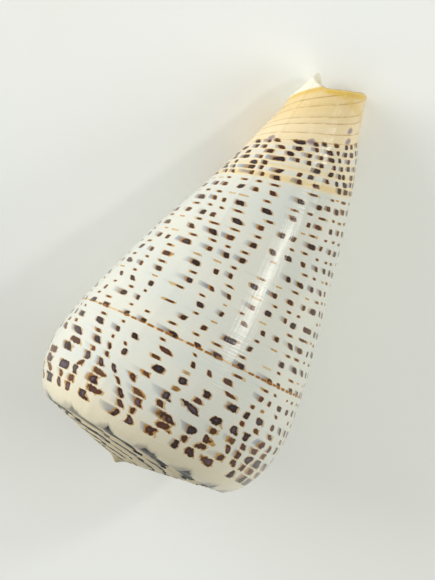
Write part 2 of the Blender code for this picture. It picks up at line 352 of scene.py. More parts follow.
def lip_edge(outer_edge, inner_edge, azimuth):
    """Middle of the lip's edge, pushed forward along the turn so that the edge is round."""
    forward = np.stack([-np.sin(azimuth), np.cos(azimuth), 0.0 * azimuth], axis=-1)
    edge = 0.5 * (outer_edge + inner_edge) + LIP_BULGE * forward
    edge[-1, 2] += LIP_BULGE
    return edge


def rim_edge(outer_rim, inner_rim, wall, turned):
    """Middle of the front rim, pushed along the axis by a share of the wall, fading in the deep end."""
    edge = 0.5 * (outer_rim + inner_rim)
    edge[:, 2] += RIM_BULGE * wall * np.clip(turned / RIM_FADE, 0.0, 1.0)
    return edge


def columella_rings(edge, azimuth):
    """Rings that shrink from the edge to the middle: sideways by the share, in height by its cube, plus
    a half circle for the ridge and a low crown."""
    middle = np.array([0.0, 0.0, edge[:, 2].mean()])
    degrees = np.degrees(azimuth)
    ridge = RIDGE_HEIGHT * rise(degrees, *RIDGE_DEG) * (1.0 - rise(degrees, *RIDGE_ENDS_DEG))
    share = np.array(COLUMELLA_RINGS + (0.0,))[:, None]
    across = np.clip((share - RIDGE_SHARE) / RIDGE_WIDTH, -1.0, 1.0)
    rings = middle + (edge - middle) * np.stack([share, share, share ** 3], axis=-1)
    rings[:, :, 2] += COLUMELLA_CROWN * (1.0 - share ** 2) + ridge * np.sqrt(1.0 - across ** 2)
    return rings


# %% [markdown]
# ## One closed mesh
# All these surfaces are grids of points. Where two of them meet, their points are one and the same, so the
# mesh is closed without a merge by distance, which could also close the fine suture. The marks differ on
# the two sides of such a border, so they are kept per face corner and not per point.

# %% Grids that share points
PLACE_INSIDE = 2.0
PLACE_COLUMELLA = 3.0


class Surfaces:
    """Grids of points with their mark numbers, and the table of which points are the same."""

    def __init__(self):
        self.points = []
        self.marks = []
        self.spacing = []
        self.growth = []
        self.count = 0
        self.same = []

    def add(self, points, marks, spacing, growth):
        """Keeps a grid and returns the numbers of its points."""
        shape = points.shape[:-1]
        numbers = self.count + np.arange(int(np.prod(shape))).reshape(shape)
        self.points.append(points.reshape(-1, 3))
        self.marks.append(np.stack([np.broadcast_to(m, shape) for m in marks], axis=-1).reshape(-1, 3))
        self.spacing.append(np.stack([np.broadcast_to(m, shape) for m in spacing], axis=-1).reshape(-1, 3))
        self.growth.append(np.broadcast_to(growth, shape).reshape(-1))
        self.count += numbers.size
        return numbers

    def add_plain(self, points, place, share, growth):
        """Keeps a grid that carries no marks, such as the inside."""
        return self.add(points, (0.0, 0.0, place), (5.0, 2.0, share), growth)

    def join(self, numbers, onto):
        """Makes each of these points one with the point that it is put on."""
        self.same.append((np.ravel(numbers), np.ravel(np.broadcast_to(onto, np.shape(numbers)))))


def cells(numbers):
    """Two triangles of point numbers for each cell of a grid."""
    a = numbers[:-1, :-1].ravel()
    b = numbers[1:, :-1].ravel()
    c = numbers[1:, 1:].ravel()
    d = numbers[:-1, 1:].ravel()
    return np.concatenate([np.stack([a, b, c], axis=1), np.stack([a, c, d], axis=1)])


# %% [markdown]
# ## Growing the shell
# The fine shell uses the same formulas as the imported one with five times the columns. Rows lie closest at
# the shoulder and on the grooved tip, where the shape turns quickly.

# %% Work out all surfaces
COLUMNS = 240
RAMP_ROWS = np.concatenate([[0.0, 0.04, 0.08, 0.12, 0.17], np.linspace(0.24, 0.92, 9), [0.97, 1.0]])
SIDE_ROWS = np.concatenate([
    np.linspace(0.060, 0.130, 12)[1:],
    np.linspace(0.130, 0.820, 40)[1:],
    np.linspace(0.820, 1.000, 58)[1:],
])


def outside():
    """Turn, azimuth, radius, height, share and relief of every column and row of the outside."""
    last = int(round(TURNS_MODELLED * COLUMNS))
    tau = FULL_TURN * (np.arange(last + 1) - last) / COLUMNS
    rows = (SIDE_ROWS - PROFILE_Z[0]) / (1.0 - PROFILE_Z[0])
    ramp = ramp_point(tau[:, None], RAMP_ROWS[None, :])
    side = side_point(tau[:, None], rows[None, :])
    azimuth, radius, height = [np.concatenate(pair, axis=1) for pair in zip(ramp, side)]
    height = height + drop_from_nipple(radius)
    share = height / SHELL_LENGTH / whorl_size(azimuth)
    shoulder = len(RAMP_ROWS) - 1
    low = np.concatenate([
        ramp_relief(tau[:, None], RAMP_ROWS[None, :]) * whorl_size(azimuth[:, :shoulder + 1]),
        side_relief(tau[:, None], share[:, shoulder + 1:]),
    ], axis=1)
    angle = outward_angle(azimuth, height)
    radius = radius + low * MM * np.sin(angle)
    height = height - low * MM * np.cos(angle)
    return tau, azimuth, radius, height, share


def shell_surfaces():
    """All grids of the shell, joined, and the list of point grids that become faces."""
    tau, azimuth, radius, height, share = outside()
    shoulder = len(RAMP_ROWS) - 1
    wall_row = shoulder + 2
    last = len(tau) - 1
    under = last - COLUMNS
    deep = int(round(CAVITY_TURN * COLUMNS))
    hollow = slice(last - deep, last + 1)
    covered = slice(under - deep, under + 1)
    made = Surfaces()
    turns = tau / FULL_TURN

    # The outside, whose suture is the shoulder of the whorl before
    xyz = to_xyz(azimuth, radius, height)
    xyz[0, 0] = 0.0
    place = np.concatenate([RAMP_ROWS - 1.0, (SIDE_ROWS - PROFILE_Z[0]) / (1.0 - PROFILE_Z[0])])[None, :]
    marks = (column_number(azimuth, share), row_number(share), place)
    width, tall = cell_size(azimuth, share, radius)
    outer = made.add(xyz, marks, (width, tall, share), turns[:, None])
    made.join(outer[COLUMNS:, 0], outer[:-COLUMNS, shoulder])
    made.join(outer[:COLUMNS, 0], outer[0, 0])
    made.join(outer[0, 1:shoulder + 1], outer[0, shoulder])

    # The whorl that shows inside the opening
    parietal = made.add_plain(xyz[covered], PLACE_INSIDE, share[covered], turns[covered, None])
    made.join(parietal, outer[covered])

    # The inside of the last half turn, which starts on the whorl that it covers
    joined = (azimuth[covered, wall_row] + FULL_TURN, radius[covered, wall_row], height[covered, wall_row])
    inner_xyz, wall = inside(tau[hollow], azimuth[hollow], radius[hollow], height[hollow], RAMP_ROWS, joined)
    inner = made.add_plain(inner_xyz, PLACE_INSIDE, share[hollow], turns[hollow, None])
    made.join(inner[:, 0], outer[covered, wall_row])

    # Round edges of the lip and of the front rim, which share a corner
    lip_xyz = lip_edge(xyz[last], inner_xyz[-1], azimuth[last])
    lip = made.add_plain(lip_xyz, PLACE_INSIDE, share[last], turns[last])
    made.join(lip[0], outer[under, shoulder + 1])
    rim_xyz = rim_edge(xyz[hollow, -1], inner_xyz[:, -1], wall, tau[hollow] - tau[last - deep])
    rim = made.add_plain(rim_xyz, 1.0, share[hollow, -1], turns[hollow])
    made.join(rim[-1], lip[-1])

    # The end of the columella: rings that shrink from its edge to a low crown
    edge_numbers = np.concatenate([outer[under - deep:last - deep + 1, -1], rim[:1], inner[:1, -1]])
    edge = np.concatenate(made.points)[edge_numbers]
    edge_azimuth = azimuth[np.r_[under - deep:last - deep + 1, last - deep, last - deep], -1]
    rings = made.add_plain(columella_rings(edge, edge_azimuth), PLACE_COLUMELLA, 1.0, 0.0)
    made.join(rings[-1], rings[-1, 0])
    rings = np.concatenate([edge_numbers[None, :], rings])
    rings = np.concatenate([rings, rings[:, :1]], axis=1)

    # The wall across the deep end of the opening
    facing = parietal[0, np.maximum(np.arange(inner.shape[1]), wall_row)]

    grids = [
        outer[:, :shoulder + 1],
        outer[under:, shoulder:],
        parietal[:, wall_row:],
        inner,
        np.stack([outer[last], lip, inner[-1]]),
        np.stack([outer[hollow, -1], rim, inner[:, -1]]),
        np.stack([inner[0], facing]),
        rings,
    ]
    return made, grids


def shell_arrays():
    """Points, triangles and the mark numbers of each face corner of the closed shell."""
    made, grids = shell_surfaces()
    same = np.arange(made.count)
    for numbers, onto in made.same:
        same[numbers] = onto
    while np.any(same[same] != same):
        same = same[same]
    corners = np.concatenate([cells(grid) for grid in grids])
    faces = same[corners]
    full = (faces[:, 0] != faces[:, 1]) & (faces[:, 1] != faces[:, 2]) & (faces[:, 0] != faces[:, 2])
    corners = corners[full].ravel()
    used, faces = np.unique(faces[full], return_inverse=True)
    points = np.concatenate(made.points)[used]
    marks = np.concatenate(made.marks)[corners]
    spacing = np.concatenate(made.spacing)[corners]
    growth = np.concatenate(made.growth)[corners]
    return points, faces.reshape(-1, 3), marks, spacing, growth


points, faces, marks, spacing, growth = shell_arrays()
print("points:", len(points), "triangles:", len(faces))

# %% [markdown]
# ## Laying it down
# A cone shell rests on its opening side, with the belly of the last whorl, the edge of the lip and the front
# tip on the ground. Two turns bring it there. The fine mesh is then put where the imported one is, by the
# middle of its box and its underside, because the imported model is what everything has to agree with.

# %% Attitude at rest
REST_ROLL = math.radians(-54.18)
REST_PITCH = math.radians(105.10)
rest_turn = Matrix.Rotation(REST_PITCH, 4, "Y") @ Matrix.Rotation(REST_ROLL, 4, "Z")


def placed(points):
    """The matrix that lays the shell down, and the points once it is applied."""
    turned = points @ np.array(rest_turn.to_3x3()).T
    low, high = turned.min(axis=0), turned.max(axis=0)
    box_low, box_high = [np.array(corner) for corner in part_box("shell")]
    shift = 0.5 * (box_low + box_high) - 0.5 * (low + high)
    shift[2] = box_low[2] - low[2]
    return Matrix.Translation(shift) @ rest_turn, turned + shift


place_matrix, points = placed(points)


def build_mesh(name, points, faces):
    """A mesh object from whole arrays, with its faces turned outwards."""
    mesh = bpy.data.meshes.new(name)
    mesh.vertices.add(len(points))
    mesh.vertices.foreach_set("co", points.ravel())
    mesh.loops.add(faces.size)
    mesh.loops.foreach_set("vertex_index", faces.ravel())
    mesh.polygons.add(len(faces))
    mesh.polygons.foreach_set("loop_start", np.arange(len(faces)) * 3)
    mesh.polygons.foreach_set("loop_total", np.full(len(faces), 3))
    for label, values in (("marks", marks), ("spacing", spacing)):
        layer = mesh.attributes.new(label, "FLOAT_VECTOR", "CORNER")
        layer.data.foreach_set("vector", values.ravel())
    layer = mesh.attributes.new("growth", "FLOAT", "CORNER")
    layer.data.foreach_set("value", growth)
    mesh.update(calc_edges=True)
    mesh.validate()
    work = bmesh.new()
    work.from_mesh(mesh)
    bmesh.ops.recalc_face_normals(work, faces=work.faces)
    volume = work.calc_volume(signed=True)
    work.to_mesh(mesh)
    work.free()
    mesh.shade_smooth()
    piece = bpy.data.objects.new(name, mesh)
    bpy.context.scene.collection.objects.link(piece)
    print(name, "volume, cm3:", round(volume / 1e-6, 1))
    return piece


shell = build_mesh("shell_grown", points, faces)

# %% [markdown]
# ## Formulas in a material
# A material that draws marks is arithmetic on numbers, and in the node editor every sum is a node. Wiring
# a hundred of them by hand hides the formula. A small wrapper round a node's output lets the formula be
# written as one, and each sign in it adds its Math node.

# %% Node helpers
NODES_IN_A_COLUMN = 8
NODE_STEP = (190, 170)


def add_node(tree, kind, **settings):
    """A new node in the next free place, with its settings."""
    node = tree.nodes.new(kind)
    column, line = divmod(len(tree.nodes), NODES_IN_A_COLUMN)
    node.location = (column * NODE_STEP[0], -line * NODE_STEP[1])
    for name, value in settings.items():
        setattr(node, name, value)
    return node


def feed(socket, value):
    """Links a Flow to the socket, or sets the socket to the plain value."""
    if isinstance(value, Flow):
        socket.id_data.links.new(value.socket, socket)
    else:
        socket.default_value = value


class Flow:
    """A node's output, used in formulas."""

    def __init__(self, socket):
        self.socket = socket
        self.tree = socket.id_data

    def math(self, operation, *others):
        """A Math node that takes this output first and then the others."""
        node = add_node(self.tree, "ShaderNodeMath", operation=operation)
        for place, value in zip(node.inputs, (self,) + others):
            feed(place, value)
        return Flow(node.outputs[0])

    __add__ = __radd__ = partialmethod(math, "ADD")
    __sub__ = partialmethod(math, "SUBTRACT")
    __mul__ = __rmul__ = partialmethod(math, "MULTIPLY")
    __truediv__ = partialmethod(math, "DIVIDE")
    __pow__ = partialmethod(math, "POWER")
    floor = partialmethod(math, "FLOOR")
    size = partialmethod(math, "ABSOLUTE")
    most = partialmethod(math, "MAXIMUM")

    def __neg__(self):
        return self * -1.0

    def __rsub__(self, other):
        return -self + other

    def rise(self, low, high, bottom=0.0, top=1.0):
        """bottom below low, top above high, an S-shaped climb between."""
        node = add_node(self.tree, "ShaderNodeMapRange", interpolation_type="SMOOTHSTEP")
        for place, value in zip(node.inputs, (self, low, high, bottom, top)):
            feed(place, value)
        return Flow(node.outputs[0])

    def fall(self, low, high):
        """1 below low, 0 above high, an S-shaped descent between."""
        return self.rise(low, high, 1.0, 0.0)


def bell(flow, middle, width):
    """1 at the middle, fading to 0 at width on either side."""
    return (flow - middle).size().fall(0.0, width)


def vector(x, y, z):
    """Three flows or numbers as one vector; at least one is a flow."""
    tree = next(value.tree for value in (x, y, z) if isinstance(value, Flow))
    node = add_node(tree, "ShaderNodeCombineXYZ")
    for place, value in zip(node.inputs, (x, y, z)):
        feed(place, value)
    return Flow(node.outputs[0])


def parts(flow):
    """The three numbers of a vector or colour."""
    node = add_node(flow.tree, "ShaderNodeSeparateXYZ")
    feed(node.inputs[0], flow)
    return [Flow(output) for output in node.outputs]


def noise(where, scale, detail):
    """Smooth noise from 0 to 1 at a vector, middle one half."""
    node = add_node(where.tree, "ShaderNodeTexNoise")
    feed(node.inputs["Vector"], where)
    feed(node.inputs["Scale"], scale)
    feed(node.inputs["Detail"], detail)
    return Flow(node.outputs["Fac"])


def waver(first, second, seed, detail=2.0):
    """Smooth noise from 0 to 1 over two numbers, with another pattern for each seed."""
    return noise(vector(first, second, seed), 1.0, detail)


def chance(where):
    """Three independent numbers from 0 to 1, constant for a constant vector."""
    node = add_node(where.tree, "ShaderNodeTexWhiteNoise", noise_dimensions="3D")
    feed(node.inputs["Vector"], where)
    return parts(Flow(node.outputs["Color"]))


def mix(share, first, second):
    """first where the share is 0, second where it is 1."""
    node = add_node(share.tree, "ShaderNodeMix", data_type="RGBA")
    feed(node.inputs["Factor"], share)
    feed(node.inputs[6], first)
    feed(node.inputs[7], second)
    return Flow(node.outputs[2])


def colour(red, green, blue):
    """Colour from the 0 to 255 values of a screen, as the linear values that a material needs."""
    values = [part / 255.0 for part in (red, green, blue)]
    return tuple(v / 12.92 if v <= 0.04045 else ((v + 0.055) / 1.055) ** 2.4 for v in values) + (1.0,)


def new_group(name, inputs, outputs):
    """A node group with named number sockets: returns its tree and its inputs as flows."""
    tree = bpy.data.node_groups.new(name, "ShaderNodeTree")
    for label, value in inputs.items():
        socket = tree.interface.new_socket(label, in_out="INPUT", socket_type="NodeSocketFloat")
        socket.default_value = value
    for label in outputs:
        tree.interface.new_socket(label, in_out="OUTPUT", socket_type="NodeSocketFloat")
    source = add_node(tree, "NodeGroupInput")
    flows = {label: Flow(source.outputs[label]) for label in inputs}
    return tree, flows


def end_group(tree, outputs, values):
    """Feeds the group's outputs, in the order of their names."""
    out = add_node(tree, "NodeGroupOutput")
    for label, value in zip(outputs, values):
        feed(out.inputs[label], value)
    return tree


def use_group(tree, group, **inputs):
    """Places a group and returns its outputs by name; an underscore in a name stands for a space."""
    node = add_node(tree, "ShaderNodeGroup", node_tree=group)
    for label, value in inputs.items():
        feed(node.inputs[label.replace("_", " ")], value)
    return {output.name: Flow(output) for output in node.outputs}


# %% [markdown]
# ## Spotted rows
# On the real shell the marks are short dark bars in rows. Most end sharply on the side of growth and trail
# off in blue-grey behind, with a narrow brown-orange edge. Between the rows of large marks run rows of small
# brown ones. A texture of random dots would lose the rows. The group cuts the numbers of column and row into
# cells, gives each cell its own chances, and draws one mark in it from distances in millimetres.

# %% Group: marks in cells
# Zones are shares of the way from the apex to the front, columns are counted in cells, and chances are
# from 0 to 1. A mark's half sizes are in millimetres before its own chances change them.
LAST_ROW = 36.0
SHOULDER_ZONE = (0.14, 0.34)
TIP_ZONE = (0.785, 0.805)
PARTED_ZONE = (0.89, 0.91)
WANDER_COLUMNS = 2.1
TWIST_COLUMNS = (0.28, 0.45)
STEP_COLUMNS = (0.26, 0.7)
SCATTER_MM = (1.2, 0.35)
HALF_WIDTH_MM = 0.93
HALF_HEIGHT_MM = 0.63
SMALL_NARROWER_MM = (0.30, 0.34)
TIP_NARROWER_MM = 0.20
SHOULDER_WIDER_MM = 0.22
SMALL_LOWER_MM = 0.32
PALE_LOWER_MM = 0.10
TIP_LOWER_MM = 0.05
SHOULDER_TALLER_MM = 0.40
SHOULDER_GROWS = 0.12
MARK_SLANT = 0.30
MARK_POWER = 3.2
RAGGED = (0.50, 0.60)
EMPTY_CHANCE = 0.05
SMALL_EMPTIER = 0.03
TIP_EMPTIER = 0.10
TRAIL_MM = (1.8, 2.6)


def marks_group():
    """One mark for each cell: core, fringe and trail masks, and a chance for its colour."""
    masks = ("Core", "Fringe", "Trail", "Small", "Inner", "Chance", "Gap")
    inputs = {"Column": 0.0, "Row": 0.0, "Width": 5.0, "Height": 2.0, "Share": 0.5}
    tree, at = new_group("spotted_rows", inputs, masks)
    column, row, share = at["Column"], at["Row"], at["Share"]
    shoulder = share.fall(*SHOULDER_ZONE)
    tip = share.rise(*TIP_ZONE)

    # Columns wander, more so near the shoulder, and each row is a little out of step
    wander = waver(column * 0.45, row * 0.16, seed=4.0, detail=1.0) - 0.5
    twist = waver(column * 1.1, row * 0.75, seed=9.0, detail=1.0) - 0.5
    line = row.floor()
    step = chance(vector(line, 3.0, 7.0))[0] - 0.5
    moved = column + wander * WANDER_COLUMNS + twist * (TWIST_COLUMNS[0] + shoulder * TWIST_COLUMNS[1])
    moved = moved + step * (STEP_COLUMNS[0] + tip * STEP_COLUMNS[1])
    cell = moved.floor()
    luck = chance(vector(cell, line, 1.0))
    more_luck = chance(vector(cell, line, 2.0))

    # Every second row is of small thin marks, except on the tip where all are alike
    odd = (line * 0.5 - (line * 0.5).floor()) * 2.0
    small = odd * (1.0 - tip) * (1.0 - shoulder * 0.35)

    # Place in the cell, in millimetres
    across = (moved - cell - 0.5) * at["Width"] + (luck[0] - 0.5) * SCATTER_MM[0]
    along = (row - line - 0.5) * at["Height"] + (luck[1] - 0.5) * SCATTER_MM[1]
    slanted = across + along * MARK_SLANT

    # Half sizes, which also grow and shrink from one patch of the shell to the next
    patch = waver(column * 0.22, row * 0.11, seed=12.0, detail=1.0)
    grow = (0.74 + luck[2] * 0.40) * patch.rise(0.25, 0.62, 0.80, 1.08) + shoulder * SHOULDER_GROWS
    pale = small * more_luck[1].rise(0.78, 0.86) * (1.0 - shoulder)
    wide = HALF_WIDTH_MM - small * (SMALL_NARROWER_MM[0] - more_luck[2] * SMALL_NARROWER_MM[1])
    wide = wide - tip * TIP_NARROWER_MM + shoulder * SHOULDER_WIDER_MM
    tall = HALF_HEIGHT_MM - small * SMALL_LOWER_MM - pale * PALE_LOWER_MM
    tall = tall - tip * TIP_LOWER_MM + shoulder * SHOULDER_TALLER_MM
    half_across = wide * grow
    half_along = tall * (0.6 + grow * 0.45)

    # Distance from the middle of the mark: 1 on its edge, which is a square with round corners
    power = MARK_POWER
    reach = ((slanted / half_across).size() ** power + (along / half_along).size() ** power) ** (1.0 / power)
    rough = waver(column * 6.0, row * 2.0, seed=2.0) - 0.5
    reach = reach + rough * (RAGGED[0] + shoulder * RAGGED[1])

    # Some cells stay empty, and some small marks stay pale; the front edge is sharp, the back edge soft
    empty = more_luck[0] - EMPTY_CHANCE - small * SMALL_EMPTIER - tip * TIP_EMPTIER
    empty = empty.math("LESS_THAN", 0.0)
    there = (1.0 - empty) * line.math("GREATER_THAN", -0.5) * line.math("LESS_THAN", LAST_ROW + 0.5)
    back = (slanted / half_across).fall(-1.0, 0.5) * more_luck[2].rise(0.2, 0.7)
    core = reach.fall(0.78 - back * 0.34, 1.00) * there * (1.0 - pale)
    ends = slanted.size() / half_across
    fringe = (reach - ends.rise(0.5, 1.2, 0.0, 0.16 + small * 0.16)).fall(0.92, 1.10) * there

    # The trail behind a mark, and the pale heart of a large one
    trail_length = TRAIL_MM[0] + more_luck[1] * TRAIL_MM[1]
    behind = (-slanted / trail_length).fall(0.0, 1.0) * (-slanted).rise(-0.5, 0.5)
    narrow = ((along + slanted * 0.10) / half_along).size().fall(0.45, 1.30)
    strength = (more_luck[2] + tip * 0.2).rise(0.34, 0.58) * (1.0 - small * 0.85)
    trail = behind * narrow * strength * there
    heart = (reach + more_luck[0].rise(0.4, 0.7, 0.0, 0.35)).fall(0.25, 0.72)
    inner = heart * share.rise(0.16, 0.34, 1.0, 0.25)

    # On the tip the rows are parted by plain cream
    gap = (row - line - 0.5).size().rise(0.27, 0.40) * tip * share.fall(*PARTED_ZONE)
    return end_group(tree, masks, (core, fringe, trail, small, inner, luck[2], gap))


spotted_rows = marks_group()
print("nodes in the spotted rows group:", len(spotted_rows.nodes))

# %% [markdown]
# ## Spiral lines
# A dashed brown line rings the shell a third of the way along. Near the tip follow a broad pale yellow band,
# a narrow one, and thin brown lines on the tip itself. All are bands of the share along the shell, which
# winds with the whorl, so they spiral as they should.

# %% Group: spiral lines
# Places and widths are shares of the way from the apex to the front, and dashes are counted for each column
DASHED_LINE = 0.3385
DASHES_PER_COLUMN = 2.6
DASH_WIDTH = (0.0028, 0.0012)
LINK_WIDTH = (0.0010, 0.0030)
YELLOW_LINES = (0.8033, 0.8370)
YELLOW_WIDTHS = (0.0125, 0.0060)
BROWN_LINES = (0.9122, 0.9350, 0.9623, 0.9805, 1.0138, 1.0400)
BROWN_WIDTH = 0.0028
FIRST_BROWN_WIDTH = 0.0026
UNEVEN_WIDTH = 0.0022


def lines_group():
    """Masks of the dashed line, the yellow bands and the thin brown lines of the tip."""
    masks = ("Dashes", "Dash link", "Yellow", "Brown")
    tree, at = new_group("spiral_lines", {"Column": 0.0, "Share": 0.5}, masks)
    column, share = at["Column"], at["Share"]
    uneven = waver(column * 0.9, share * 6.0, seed=5.0) - 0.5
    moved = share + uneven * UNEVEN_WIDTH
    beat = column * DASHES_PER_COLUMN + uneven * 1.6
    dash = (beat - beat.floor() - 0.5).size().fall(0.30, 0.40)
    luck = chance(vector(beat.floor(), 6.0, 6.0))[0]
    thick = DASH_WIDTH[0] + luck * DASH_WIDTH[1]
    off = (moved - DASHED_LINE).size()
    dashes = off.fall(thick * 0.55, thick * 1.1) * dash * luck.rise(0.08, 0.3)
    link = off.fall(*LINK_WIDTH) * 0.75
    broad, slim = [bell(moved, *band) for band in zip(YELLOW_LINES, YELLOW_WIDTHS)]
    yellow = broad.most(slim * 0.85)
    broken = waver(column * 1.7, share * 40.0, seed=2.0).rise(0.30, 0.62, 0.35, 1.0)
    brown = bell(moved, BROWN_LINES[0], FIRST_BROWN_WIDTH)
    for line in BROWN_LINES[1:]:
        brown = brown.most(bell(moved, line, BROWN_WIDTH))
    return end_group(tree, masks, (dashes, link, yellow, brown * broken))


spiral_lines = lines_group()
print("nodes in the spiral lines group:", len(spiral_lines.nodes))

# %% [markdown]
# ## Flames on the spire
# The spire carries dark slate streaks that cross each ramp along the growth lines, with smoky edges, on
# cream. They follow the same columns as the marks on the side, with about one streak for two columns.

# %% Group: flames on the ramps
FLAMES_PER_COLUMN = 0.45
FLAME_LEAN = 0.9
FLAME_HALF_WIDTH = (0.15, 0.18)
FLAMES_START_TURNS = (-6.4, -5.2)
FLAME_ENDS = (0.008, 0.014)
SMOKE_ENDS = (0.008, 0.024)
ENDS_UNEVEN = 0.016


def flames_group():
    """Dark streaks across the ramp, which end unevenly just past the shoulder, and their smoky edges."""
    masks = ("Flame", "Smoke")
    tree, at = new_group("spire_flames", {"Column": 0.0, "Ramp": -0.5, "Growth": 0.0}, masks)
    column, ramp = at["Column"], at["Ramp"]
    wave = waver(column * 0.8, ramp * 1.4, seed=8.0) - 0.5
    moved = column * FLAMES_PER_COLUMN + wave * 0.7 + ramp * FLAME_LEAN
    cell = moved.floor()
    luck = chance(vector(cell, at["Growth"].floor(), 5.0))
    across = (moved - cell - 0.5) + (luck[0] - 0.5) * 0.30
    narrow = ramp.rise(-1.0, -0.25, 0.45, 1.0)
    half = (FLAME_HALF_WIDTH[0] + luck[1] * FLAME_HALF_WIDTH[1]) * narrow
    rough = waver(column * 4.0, ramp * 7.0, seed=3.0) - 0.5
    reach = (across / half).size() + rough * 0.8
    haze = reach + across.rise(-0.3, 0.1, -0.6, 0.2)
    there = luck[2].rise(0.08, 0.14) * at["Growth"].rise(*FLAMES_START_TURNS)
    flame = reach.fall(0.85, 1.10) * (ramp + reach * ENDS_UNEVEN).fall(*FLAME_ENDS)
    smoke = haze.fall(0.7, 1.6) * (ramp + haze * ENDS_UNEVEN).fall(*SMOKE_ENDS)
    return end_group(tree, masks, (flame * there, smoke * there))


spire_flames = flames_group()
print("nodes in the spire flames group:", len(spire_flames.nodes))

# %% [markdown]
# ## Threads and growth lines
# In the light strip on the side, hair-fine threads show along the spiral and across it. They are far
# thinner than any mesh could carry, so they are bump: stretched noise in the numbers of row and growth.

# %% Group: fine relief
THREADS_ALONG = 200.0
LINES_PER_TURN = 300.0
THREAD_HEIGHT_MM = 0.060
LINE_HEIGHT_MM = 0.055
DENT_HEIGHT_MM = 0.03


def relief_group():
    """Height in millimetres of spiral threads, growth lines and shallow dents."""
    tree, at = new_group("fine_relief", {"Column": 0.0, "Share": 0.5, "Growth": 0.0}, ("Height",))
    column, share, growth_turn = at["Column"], at["Share"], at["Growth"]
    threads = waver(share * THREADS_ALONG, growth_turn * 14.0, seed=1.0) - 0.5
    lines = waver(growth_turn * LINES_PER_TURN, share * 9.0, seed=5.0) - 0.5
    dents = waver(column * 0.6, share * 22.0, seed=7.0, detail=3.0) - 0.5
    height = threads * THREAD_HEIGHT_MM + lines * LINE_HEIGHT_MM + dents * DENT_HEIGHT_MM
    return end_group(tree, ("Height",), (height,))


fine_relief = relief_group()
print("nodes in the fine relief group:", len(fine_relief.nodes))

# %% [markdown]
# ## The enamel
# The shell is like china with a thin worn glaze: white, a little warmer near the shoulder, orange-yellow
# on the tip, cream on the spire and porcelain white inside. One material holds it all, so that the zones can
# fade into one another. The order is ground colour, trails, fringes, cores, then the lines of the tip.

# %% Colours
WHITE = colour(216, 216, 203)
COOL_WHITE = colour(210, 213, 203)
WARM_WHITE = colour(220, 214, 194)
SHOULDER_CREAM = colour(229, 219, 190)
TIP_CREAM = colour(235, 216, 174)
TIP_ORANGE = colour(228, 202, 143)
RIM_YELLOW = colour(222, 186, 86)
RIDGE_CREAM = colour(238, 234, 212)
PORCELAIN = colour(236, 231, 212)
SPIRE_CREAM = colour(220, 206, 172)
APEX_BEIGE = colour(192, 176, 140)
TRAIL_GREY = colour(82, 86, 110)
FRINGE_BROWN = colour(182, 130, 30)
PALE_YELLOW = colour(202, 160, 58)
CORE_DARK = colour(36, 16, 10)
CORE_BROWN = colour(70, 32, 12)
SMALL_BROWN = colour(92, 48, 10)
INNER_MAUVE = colour(104, 88, 98)
LINE_BROWN = colour(146, 92, 20)
LINE_LINK = colour(214, 168, 84)
LINE_YELLOW = colour(228, 203, 146)
LINE_TIP = colour(176, 134, 66)
FLAME_DARK = colour(12, 9, 9)
SMOKE_GREY = colour(96, 94, 94)
SMUDGE_PURPLE = colour(132, 112, 128)

# How much each layer covers what lies under it, from 0 to 1
GAP_COVER = 0.8
TRAIL_COVER = 0.85
SMALL_BROWN_COVER = 0.85
MAUVE_COVER = 0.65
TIP_LINE_COVER = 0.7
SMOKE_COVER = 0.6
RIM_PATCH_COVER = 0.8

# Gloss: the side's least and most roughness, what the ramps add to it, and the thin coat of the side
SIDE_ROUGHNESS = (0.19, 0.27)
RAMP_ROUGHER = 0.30
COAT_WEIGHT = 0.2
COAT_ROUGHNESS = 0.18

# Near the rim, as share along the shell and turns from the facing side: the yellow groove, how much
# it climbs for each turn past the middle, and the smudges. The facing side lies FACING_TURNS of growth
# back at the share FACING_SHARE, and lags by FACING_LAG turns for each unit of share.
FACING_TURNS = 0.354
FACING_SHARE = 0.95
FACING_LAG = 0.18
RIM_GROOVE = 1.0705
RIM_GROOVE_CLIMB = 0.47
SMUDGES = ((0.9180, -0.091), (0.9120, 0.033), (0.9450, 0.152), (0.9200, 0.156))
SMUDGE_SIZE = (0.0080, 0.012)
CHIP = (1.046, 0.097)
CHIP_SIZE = (0.010, 0.014)


def ground_colour(column, share, growth):
    """White side that warms at the shoulder and turns orange-yellow past the marks."""
    cloud = waver(column * 0.25, share * 9.0, seed=2.0, detail=3.0)
    side = mix(cloud.rise(0.35, 0.65), COOL_WHITE, WHITE)
    side = mix(share.fall(0.07, 0.19), side, SHOULDER_CREAM)
    side = mix(share.rise(0.79, 0.90) * 0.7, side, WARM_WHITE)
    ragged = share + (waver(column * 0.7, share * 14.0, seed=4.0) - 0.5) * 0.035
    side = mix(ragged.rise(0.890, 0.918), side, TIP_CREAM)
    side = mix(ragged.rise(0.930, 1.03), side, TIP_ORANGE)
    band = waver(growth * 60.0, share * 3.0, seed=6.0)
    return mix(band.rise(0.45, 0.75) * share.rise(0.93, 0.98) * 0.45, side, TIP_CREAM)


def round_patch(along, around, size):
    """A soft round patch with an uneven edge, where both distances are small against the size."""
    uneven = waver(along * 120.0, around * 90.0, seed=3.0) - 0.5
    return ((along / size[0]) ** 2.0 + (around / size[1]) ** 2.0 + uneven * 1.6).fall(0.1, 1.8)


